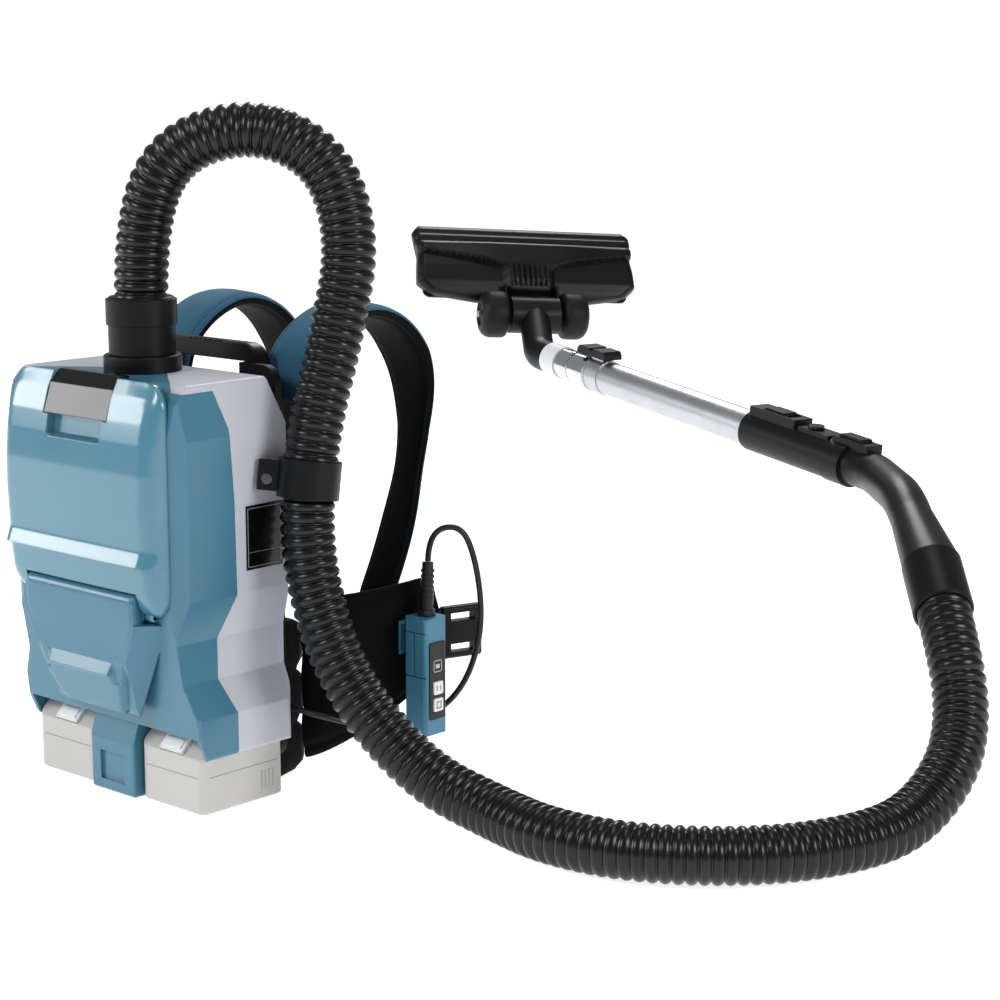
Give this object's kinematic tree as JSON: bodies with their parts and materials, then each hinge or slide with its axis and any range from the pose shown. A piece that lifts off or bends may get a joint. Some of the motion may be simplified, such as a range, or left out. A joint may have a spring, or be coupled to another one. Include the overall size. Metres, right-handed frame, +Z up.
{
  "type": "backpack vacuum cleaner",
  "caption": "Battery backpack vacuum cleaner: upright casing with harness, corrugated hose, bent handle, telescopic wand and floor nozzle.",
  "frame": {"origin": "middle of the foot's underside, on the floor", "axes": "+X to the right seen from the front, -Y out of the front cover, +Z up"},
  "size_m": [0.9795, 0.9932, 0.5512],
  "materials": {
    "teal": "glossy teal-blue moulding",
    "grey": "fine-textured pale grey moulding",
    "black": "satin black moulding",
    "gloss_black": "glossy black moulding",
    "light_button": "white button",
    "hose_black": "corrugated black hose",
    "cable_black": "smooth black cable",
    "pad_black": "black padded mesh fabric",
    "strap_teal": "teal woven fabric",
    "chrome": "polished tube",
    "aluminium": "satin anodised tube",
    "pale_case": "pale grey moulding",
    "belt_black": "black quilted fabric",
    "steel": "plain steel",
    "copper": "enamelled copper wire",
    "paper": "pleated filter paper",
    "bag": "non-woven dust bag",
    "white": "white collar",
    "board": "green circuit board",
    "terminal": "brass blades in a black block",
    "cell": "sleeved cells",
    "bristle": "black bristle strips",
    "roller": "soft black roller"
  },
  "bodies": {
    "base": {"front_housing": "teal", "rear_housing": "grey", "inlet_port": "black", "dust_bag": "bag", "filter_frame": "black", "filter_pleats": "paper", "fan_housing": "black", "motor_stator": "steel", "motor_windings": "copper", "control_board": "board", "battery_terminals": "terminal", "center_foot": "teal", "housing_screws": "steel", "label_plate": "black", "back_plate": "black", "back_pad": "pad_black", "shoulder_strap_left": "strap_teal", "shoulder_strap_right": "strap_teal", "waist_belt_left": "belt_black", "waist_belt_right": "belt_black", "belt_buckle": "black", "carry_handle": "black", "hose_band": "black", "hose": "hose_black", "handle_tube": "black", "wand_sleeve": "black", "wand_outer": "aluminium", "controller_case": "teal", "controller_keypad": "gloss_black", "controller_clip": "teal", "controller_relief": "cable_black", "controller_cable": "cable_black"},
    "cover": {"front_cover": "teal", "hinge_pins": "steel"},
    "latch": {"cover_latch": "gloss_black"},
    "rotor": {"impeller": "steel", "motor_shaft": "steel"},
    "battery_left": {"battery_left_case": "pale_case", "battery_left_cells": "cell"},
    "battery_left_key": {"battery_left_button": "light_button"},
    "battery_right": {"battery_right_case": "pale_case", "battery_right_cells": "cell"},
    "battery_right_key": {"battery_right_button": "light_button"},
    "inlet_cuff": {"hose_cuff": "black"},
    "grip_cuff": {"handle_cuff": "black"},
    "grip_latch": {"handle_latch": "black"},
    "slider": {"sleeve_slider": "black"},
    "release": {"sleeve_button": "gloss_black"},
    "lock": {"wand_lock": "black"},
    "inner_tube": {"wand_inner": "chrome"},
    "neck": {"wand_adapter": "white", "nozzle_neck": "black"},
    "nozzle": {"nozzle_body": "black", "nozzle_sole": "black", "nozzle_brushes": "bristle"},
    "left_roller": {"roller_left": "roller"},
    "right_roller": {"roller_right": "roller"},
    "key_upper": {"controller_button_upper": "light_button"},
    "key_lower": {"controller_button_lower": "light_button"}
  },
  "joints": [
    {"name": "cover_hinge", "type": "hinge", "parent": "base", "child": "cover", "pos_m": [0, -0.0635, 0.16], "axis": [1, 0, 0], "range_deg": [0, 80]},
    {"name": "latch_hinge", "type": "hinge", "parent": "cover", "child": "latch", "pos_m": [0, -0.052, 0.341], "axis": [-1, 0, 0], "range_deg": [0, 22], "stiffness_Nm_per_rad": 0.3},
    {"name": "rotor_spin", "type": "hinge", "parent": "base", "child": "rotor", "pos_m": [0, -0.006, 0.1], "axis": [0, 0, 1], "continuous": true},
    {"name": "battery_left_slide", "type": "slide", "parent": "base", "child": "battery_left", "axis": [0, -1, 0], "range_m": [0, 0.12]},
    {"name": "battery_right_slide", "type": "slide", "parent": "base", "child": "battery_right", "axis": [0, -1, 0], "range_m": [0, 0.12]},
    {"name": "battery_left_press", "type": "slide", "parent": "battery_left", "child": "battery_left_key", "axis": [0, 0.7071, -0.7071], "range_m": [0, 0.002], "stiffness_N_per_m": 500},
    {"name": "battery_right_press", "type": "slide", "parent": "battery_right", "child": "battery_right_key", "axis": [0, 0.7071, -0.7071], "range_m": [0, 0.002], "stiffness_N_per_m": 500},
    {"name": "hose_swivel", "type": "hinge", "parent": "base", "child": "inlet_cuff", "pos_m": [0, -0.004, 0.37], "axis": [0, 0, 1], "continuous": true},
    {"name": "cuff_swivel", "type": "hinge", "parent": "base", "child": "grip_cuff", "pos_m": [0.516, 0.366, 0.158], "axis": [-0.6022, 0.6022, 0.5242], "continuous": true},
    {"name": "grip_latch_press", "type": "slide", "parent": "base", "child": "grip_latch", "axis": [-0.0904, 0.0248, -0.9956], "range_m": [0, 0.002], "stiffness_N_per_m": 500},
    {"name": "slider_travel", "type": "slide", "parent": "base", "child": "slider", "axis": [-0.9601, 0.2635, 0.0938], "range_m": [-0.0075, 0]},
    {"name": "release_press", "type": "slide", "parent": "base", "child": "release", "axis": [-0.0904, 0.0248, -0.9956], "range_m": [0, 0.0016], "stiffness_N_per_m": 500},
    {"name": "wand_lock_press", "type": "slide", "parent": "base", "child": "lock", "axis": [-0.0904, 0.0248, -0.9956], "range_m": [0, 0.001], "stiffness_N_per_m": 800},
    {"name": "wand_telescope", "type": "slide", "parent": "base", "child": "inner_tube", "axis": [-0.9601, 0.2635, 0.0938], "range_m": [-0.03, 0.18]},
    {"name": "neck_swivel", "type": "hinge", "parent": "inner_tube", "child": "neck", "pos_m": [-0.17483, 0.71095, 0.26585], "axis": [-0.9601, 0.2635, 0.0938], "range_deg": [-90, 90]},
    {"name": "nozzle_tilt", "type": "hinge", "parent": "neck", "child": "nozzle", "pos_m": [-0.2598, 0.7651, 0.3047], "axis": [0.5588, 0.8274, -0.0558], "range_deg": [-35, 40]},
    {"name": "roller_left_spin", "type": "hinge", "parent": "nozzle", "child": "left_roller", "pos_m": [-0.2598, 0.7651, 0.3047], "axis": [0.5588, 0.8274, -0.0558], "continuous": true},
    {"name": "roller_right_spin", "type": "hinge", "parent": "nozzle", "child": "right_roller", "pos_m": [-0.2598, 0.7651, 0.3047], "axis": [0.5588, 0.8274, -0.0558], "continuous": true},
    {"name": "key_upper_press", "type": "slide", "parent": "base", "child": "key_upper", "axis": [-1, 0, 0], "range_m": [0, 0.001], "stiffness_N_per_m": 500},
    {"name": "key_lower_press", "type": "slide", "parent": "base", "child": "key_lower", "axis": [-1, 0, 0], "range_m": [0, 0.001], "stiffness_N_per_m": 500}
  ]
}
